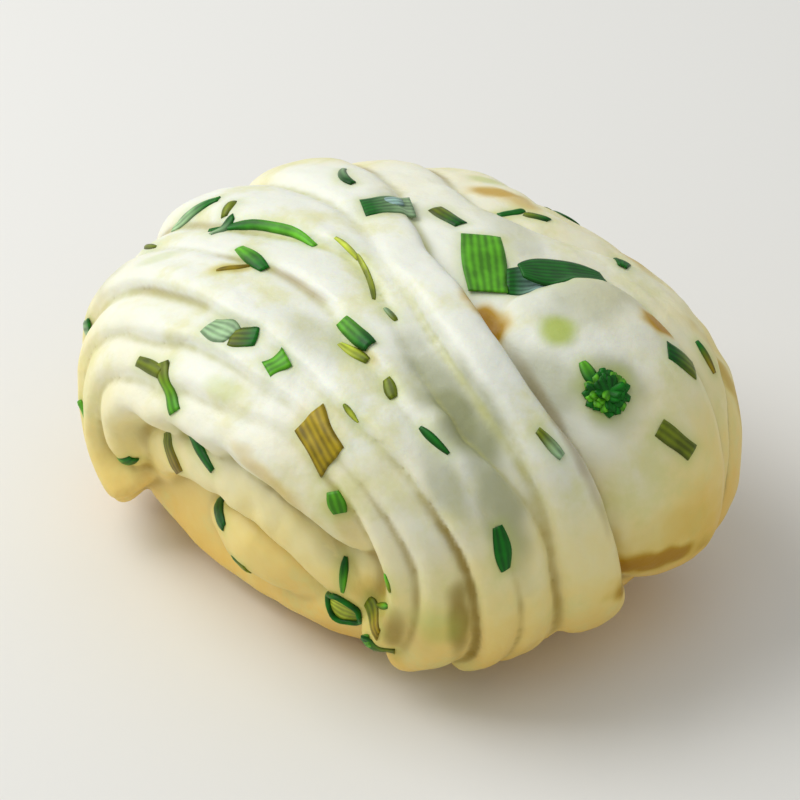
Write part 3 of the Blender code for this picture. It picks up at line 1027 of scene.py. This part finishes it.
def steamedSpringOnionLeaf():
    # green spring onion leaf cut across, wilted by the steam and still wet, with dark veins along it
    material, tree, place = emptyMaterial("steamedSpringOnionLeaf")
    tone = addNode(tree, "ShaderNodeAttribute", attribute_name="tone")
    vein = addNode(tree, "ShaderNodeAttribute", attribute_name="vein")
    lines = addNode(
        tree, "ShaderNodeMath",
        {0: vein.outputs["Fac"], 1: 2 * math.pi / onion["veinSpacing"]}, operation="MULTIPLY",
    )
    wave = addNode(tree, "ShaderNodeMath", {0: lines.outputs[0]}, operation="SINE")
    blotch = addNode(
        tree, "ShaderNodeTexNoise", {"Vector": place, "Scale": 1 / (onion["blotch"] * mm), "Detail": 2.0}
    )
    striped = addNode(
        tree, "ShaderNodeMath",
        {0: wave.outputs[0], 1: onion["veinShare"], 2: blotch.outputs["Fac"]}, operation="MULTIPLY_ADD",
    )
    low, high, least, most = onion["strength"]
    strength = addNode(
        tree, "ShaderNodeMapRange",
        {"Value": striped.outputs[0], "From Min": low, "From Max": high, "To Min": least, "To Max": most},
    )
    shaded = addNode(
        tree, "ShaderNodeVectorMath",
        {0: tone.outputs["Color"], "Scale": strength.outputs[0]}, operation="SCALE",
    )
    amount, height = onion["relief"]
    bump = addNode(
        tree, "ShaderNodeBump",
        {"Height": striped.outputs[0], "Strength": amount, "Distance": height * mm},
    )
    shader = addNode(
        tree, "ShaderNodeBsdfPrincipled",
        {
            "Base Color": shaded.outputs[0], "Normal": bump.outputs["Normal"],
            "Roughness": onion["roughness"], "IOR": onion["ior"],
            "Subsurface Weight": onion["glowShare"], "Subsurface Radius": onion["glowColours"],
            "Subsurface Scale": onion["glow"] * mm,
        },
    )
    addNode(tree, "ShaderNodeOutputMaterial", {"Surface": shader.outputs[0]})
    return material


def addTuft(bits, tree, chance):
    # slivers set in a spiral, from the outside in, each lifted a little over the last
    centre, along, outward = placeOn(tree, tuft["turn"], tuft["across"])
    for sliver in range(tuft["slivers"]):
        angle = tuft["spiral"] * sliver
        reach = tuft["spread"] * math.sqrt((tuft["slivers"] - sliver) / tuft["slivers"])
        ray = along * math.cos(angle) + outward.cross(along) * math.sin(angle)
        name = chance.choice(("deep", "deep", "deep", "bright"))
        lift = tuft["rise"] * (1 - reach / tuft["spread"]) + chance.uniform(0, tuft["stray"])
        skewed = (ray + outward.cross(ray) * chance.uniform(-tuft["skew"], tuft["skew"])).normalized()
        size = (tuft["length"] * chance.uniform(0.7, 1), tuft["width"])
        form = (tuft["bend"], tuft["taper"], lift, 0)
        bits.addPiece(centre + ray * reach, skewed, outward, *size, "deep", name, *form, chance)


def makeBits(tree):
    chance = random.Random(onion["seed"])
    bits = Bits(tree)
    for turn, across, heading, *rest in list(onionPieces) + scatteredPieces(chance):
        place, along, outward = placeOn(tree, turn, across)
        angle = math.radians(heading)
        along = along * math.cos(angle) + outward.cross(along) * math.sin(angle)
        bits.addPiece(place, along, outward, *rest, chance)
    for x, y, z, heading, length, width, start, end, taper in foldPieces:
        place, along, outward = placeNear(tree, (x, y, z), heading)
        bits.addPiece(place, along, outward, length, width, start, end, 0, taper, 0.1, 0, chance)
    for point, radius, wall in rings:
        place, along, outward = placeNear(tree, point, 0)
        bits.addRing(place, along, outward, radius, wall, "deep")
        bits.addPiece(place, along, outward, 2 * radius, 2 * radius, "pale", "olive", 0, 0.7, 0, 0, chance)
    addTuft(bits, tree, chance)
    mesh = newMesh("springOnionBits", [point * mm for point in bits.points], bits.faces)
    tone = mesh.attributes.new("tone", "FLOAT_COLOR", "POINT")
    tone.data.foreach_set("color", np.array(bits.colours).ravel())
    setAttribute(mesh, "vein", np.array(bits.veins))
    mesh.shade_smooth()
    mesh.materials.append(steamedSpringOnionLeaf())
    print("spring onion chopped and laid:", len(bits.faces), "faces")
    return addObject("springOnionBits", mesh)


marking = {
    "fade": (0.4, 1.4),      # of a mark's half size: in full up to here, gone from there
    "ragged": 0.35,          # how far that wavers
    "reach": 1.7,            # nothing is coloured past this
    "depth": 5.0,            # mm above or below a mark's middle that it still colours
    "stainEdge": 2.0,        # mm, size of the ragged edge of each kind
    "oilAndShadeEdge": 3.0,
    "softEdge": 3.5,
    "creaseDepth": 0.22,     # mm deep, where the oil tint and the painted hollow shade show in full
    "hollowShade": 0.2,         # strength of the painted grey-green shade there
    "runOut": 8,             # degrees over which a run of oil fades at its ends
}


def marksOn(points, normals, tree, marks, size):
    # how strongly a list of marks colours each point, with ragged edges of a size in mm
    total = np.zeros(len(points))
    for turn, across, heading, length, width, strength in marks:
        place, along, outward = placeOn(tree, turn, across)
        angle = math.radians(heading)
        side = outward.cross(along)
        ahead = np.array(along * math.cos(angle) + side * math.sin(angle))
        aside = np.array(side * math.cos(angle) - along * math.sin(angle))
        outward = np.array(outward)
        offset = points - np.array(place)
        reach = np.hypot(offset @ ahead / length * 2, offset @ aside / width * 2)
        near = (reach < marking["reach"]) & (np.abs(offset @ outward) < marking["depth"])
        for index in np.nonzero(near & (normals @ outward > 0))[0]:
            ragged = reach[index] + marking["ragged"] * noise.noise(Vector(points[index]) / size)
            share = (marking["fade"][1] - ragged) / (marking["fade"][1] - marking["fade"][0])
            total[index] = max(total[index], strength * smoothStep(share))
    return total


def oilAndShadeAlong(points):
    # the oil tint and painted crease shade lie at the bottom of a crease, and fade out towards the ends of
    # its run
    turns = np.degrees(turnsOf(points))
    oilAndShade = np.zeros(len(points))
    allTurns = range(-180, 181)
    for name, first, last, width, strength in oilAndShadeLines:
        line = np.array([creaseAt(name, turn) for turn in allTurns])
        gap = points[:, 1] - np.interp(turns, allTurns, line)
        ends = np.clip((turns - first) / marking["runOut"], 0, 1)
        ends *= np.clip((last - turns) / marking["runOut"], 0, 1)
        oilAndShade = np.maximum(oilAndShade, strength * ends * np.exp(-(gap / width) ** 2))
    return oilAndShade


def markDough(item, bits, tree):
    # where the juice, the oil and the stains have coloured the dough, and where painted shade darkens its
    # creases and hollows
    mesh = item.data
    points = pointsOf(mesh) / mm
    normals = normalsOf(mesh)
    near = KDTree(len(bits.data.vertices))
    for index, point in enumerate(bits.data.vertices):
        near.insert(point.co / mm, index)
    near.balance()
    gaps = np.array([near.find(Vector(point))[2] for point in points])
    halo = onion["haloStrength"] * np.exp(-(gaps / onion["haloReach"]) ** 2)
    hollow = valuesOf(mesh.attributes["hollow"].data, "value", 1)[:, 0]
    # painted shade: grey-green that deepens with the crease depth, like ambient occlusion
    paintedShade = marking["hollowShade"] * np.clip(hollow / marking["creaseDepth"], 0, 1)
    oilAndShade = oilAndShadeAlong(points) * smoothStep((hollow + 0.02) / marking["creaseDepth"])
    kinds = (
        ("juice", halo, juiceSpots, marking["softEdge"]),
        ("stain", np.zeros(len(points)), stains, marking["stainEdge"]),
        ("shadeAndBruise", paintedShade, shadeAndBruises, marking["softEdge"]),
        ("oilAndShade", oilAndShade, oilAndShadePools, marking["oilAndShadeEdge"]),
    )
    for name, under, marks, size in kinds:
        setAttribute(mesh, name, np.maximum(under, marksOn(points, normals, tree, marks, size)))
    print("dough marked with juice, oil, stains and bruises")


roll = makeRoll()
roll.data.materials.clear()
roll.data.materials.append(steamedWheatDough())
skinTree = skinOf(roll)
springOnion = makeBits(skinTree)
markDough(roll, springOnion, skinTree)
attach(roll, "root")
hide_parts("roll")
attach(springOnion, "root")


studio = {
    "floor": "#e9e7e1",
    "floorSize": 6,          # m
    "brushMark": 17.0,       # mm between the brush marks in the paint, and their height
    "brushHeight": 0.2,
    "brushStrength": 0.05,
    "floorRoughness": 0.7,
    "world": "#f2f5f8",
    "worldStrength": 0.58,
    "keyDirection": (-0.78, -0.5, 1.05),   # from the left, a little behind, high up
    "keyDistance": 0.6,      # m
    "keySize": 0.45,
    "keyPower": 2.5,
    "cameraAt": (429.8, -362.4, 379.0),     # mm
    "cameraAim": (0.0, -1.0, 20.5),
    "lens": 236.0,
}


def mattPaintedBoard():
    # matt painted board, brushed flat
    material, tree, place = emptyMaterial("mattPaintedBoard")
    grain = addNode(
        tree, "ShaderNodeTexNoise", {"Vector": place, "Scale": 1 / (studio["brushMark"] * mm), "Detail": 3.0}
    )
    bump = addNode(
        tree, "ShaderNodeBump",
        {
            "Height": grain.outputs["Fac"], "Strength": studio["brushStrength"],
            "Distance": studio["brushHeight"] * mm,
        },
    )
    shader = addNode(
        tree, "ShaderNodeBsdfPrincipled",
        {
            "Base Color": colour(studio["floor"]), "Roughness": studio["floorRoughness"],
            "Normal": bump.outputs["Normal"],
        },
    )
    addNode(tree, "ShaderNodeOutputMaterial", {"Surface": shader.outputs[0]})
    return material


def setStage():
    bpy.ops.mesh.primitive_plane_add(size=studio["floorSize"])
    floor = bpy.context.object
    floor.name = "studioFloor"
    floor.data.materials.append(mattPaintedBoard())
    world = bpy.data.worlds.new("softStudio")
    bpy.context.scene.world = world
    world.use_nodes = True
    background = world.node_tree.nodes["Background"]
    background.inputs["Color"].default_value = colour(studio["world"])
    background.inputs["Strength"].default_value = studio["worldStrength"]
    key = bpy.data.lights.new("keyLight", "AREA")
    key.energy = studio["keyPower"]
    key.size = studio["keySize"]
    lamp = addObject("keyLight", key)
    direction = Vector(studio["keyDirection"]).normalized()
    lamp.location = direction * studio["keyDistance"]
    lamp.rotation_euler = direction.to_track_quat("Z", "Y").to_euler()


def setCamera():
    camera = bpy.data.cameras.new("camera")
    camera.lens = studio["lens"]
    camera.sensor_width = 36
    camera.clip_start = 0.01
    viewer = addObject("camera", camera)
    viewer.location = Vector(studio["cameraAt"]) * mm
    aim = Vector(studio["cameraAim"]) * mm - viewer.location
    viewer.rotation_euler = aim.to_track_quat("-Z", "Y").to_euler()
    bpy.context.scene.camera = viewer
    bpy.context.scene.view_settings.view_transform = "Standard"


setStage()
setCamera()
print("floor, light and camera set")
